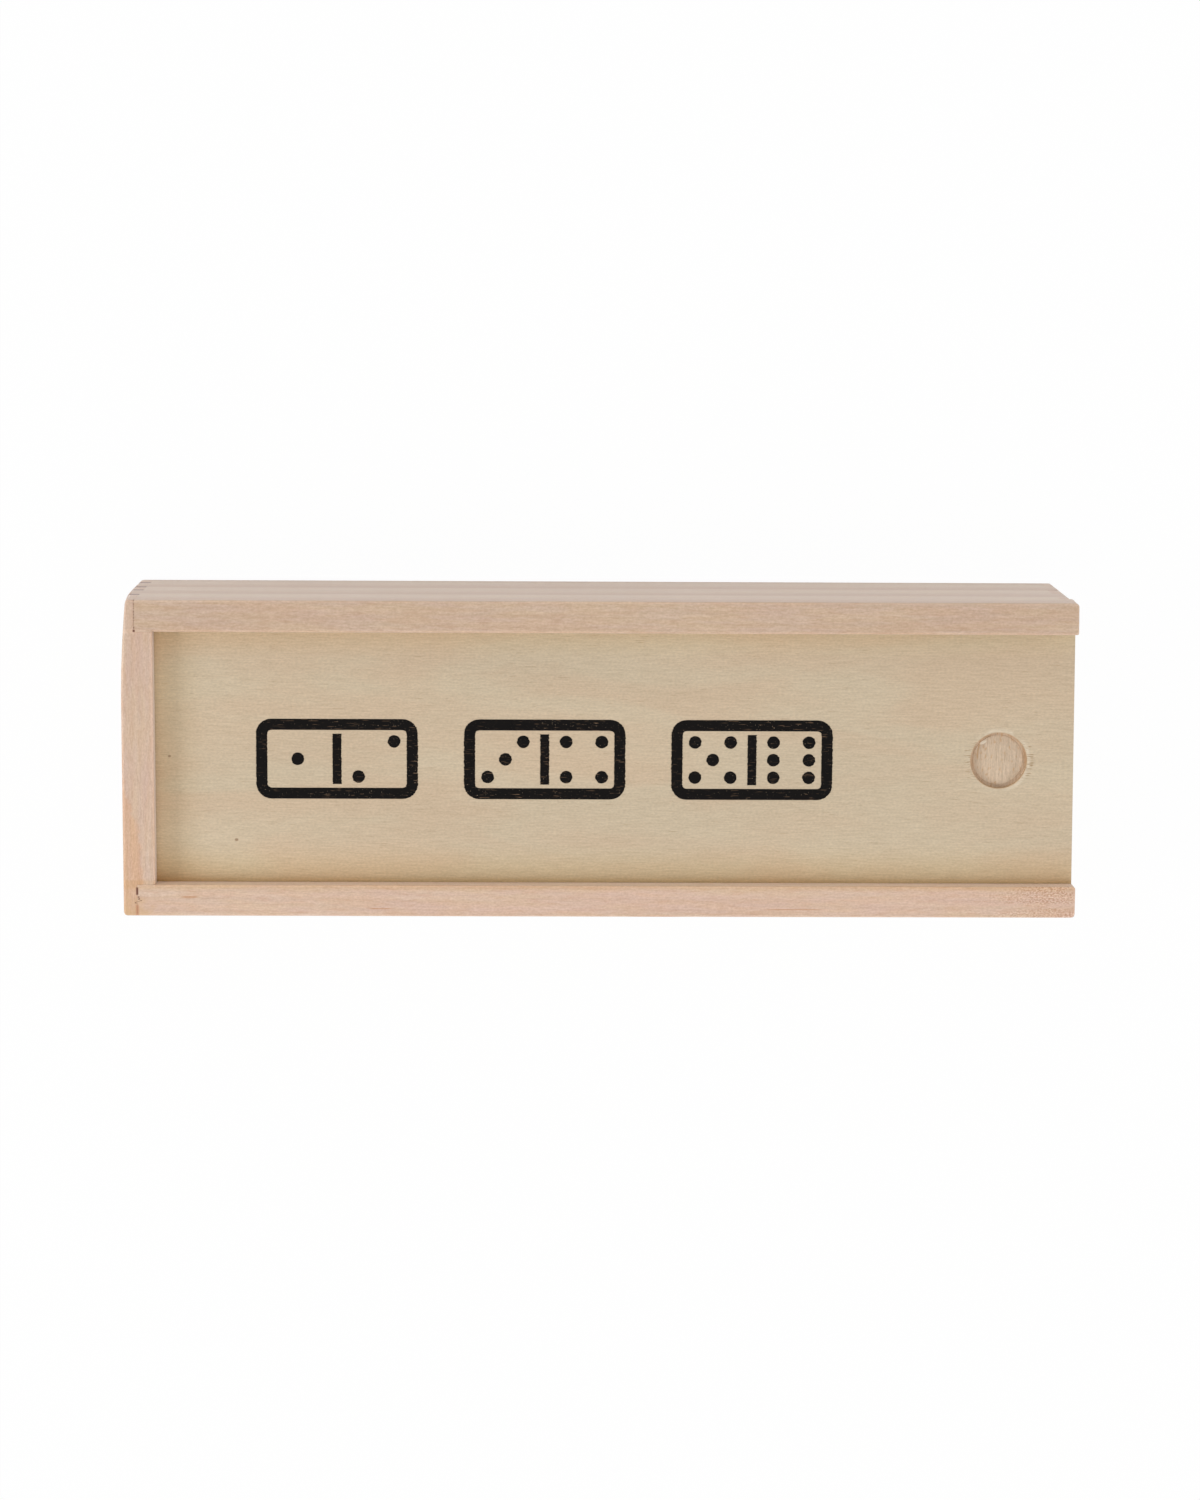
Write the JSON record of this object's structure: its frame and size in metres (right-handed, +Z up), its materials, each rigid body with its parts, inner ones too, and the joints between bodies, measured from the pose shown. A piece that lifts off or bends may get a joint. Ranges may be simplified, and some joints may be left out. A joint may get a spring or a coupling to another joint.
{
  "type": "domino storage box",
  "caption": "Slim wooden game box with finger-lapped corners, a sliding plywood lid with a round thumb recess, and a full set of domino tiles stacked flat inside.",
  "frame": {"origin": "centre of the underside, on the table that the box lies on", "axes": "+X along the box's length, the way the lid pulls out; +Y across the box; +Z up through the lid"},
  "size_m": [0.15, 0.05, 0.03],
  "materials": {
    "wall_wood": "matte",
    "lid_veneer": "matte",
    "core_veneer": "matte",
    "tile_lacquer": "satin",
    "dot_paint": "matte",
    "print_ink": "matte"
  },
  "bodies": {
    "box": {"side_wall_front": "wall_wood", "side_wall_back": "wall_wood", "end_wall": "wall_wood", "low_end_wall": "wall_wood", "bottom_panel": "lid_veneer", "tile_0_0": "tile_lacquer", "tile_0_1": "tile_lacquer", "tile_0_2": "tile_lacquer", "tile_0_3": "tile_lacquer", "tile_0_4": "tile_lacquer", "tile_0_5": "tile_lacquer", "tile_0_6": "tile_lacquer", "tile_1_1": "tile_lacquer", "tile_1_2": "tile_lacquer", "tile_1_3": "tile_lacquer", "tile_1_4": "tile_lacquer", "tile_1_5": "tile_lacquer", "tile_1_6": "tile_lacquer", "tile_2_2": "tile_lacquer", "tile_2_3": "tile_lacquer", "tile_2_4": "tile_lacquer", "tile_2_5": "tile_lacquer", "tile_2_6": "tile_lacquer", "tile_3_3": "tile_lacquer", "tile_3_4": "tile_lacquer", "tile_3_5": "tile_lacquer", "tile_3_6": "tile_lacquer", "tile_4_4": "tile_lacquer", "tile_4_5": "tile_lacquer", "tile_4_6": "tile_lacquer", "tile_5_5": "tile_lacquer", "tile_5_6": "tile_lacquer", "tile_6_6": "tile_lacquer"},
    "lid": {"lid_face_ply": "lid_veneer", "lid_core_ply": "core_veneer", "lid_back_ply": "lid_veneer"}
  },
  "joints": [
    {"name": "lid_slide", "type": "slide", "parent": "box", "child": "lid", "axis": [1, 0, 0], "range_m": [0, 0.147]}
  ]
}
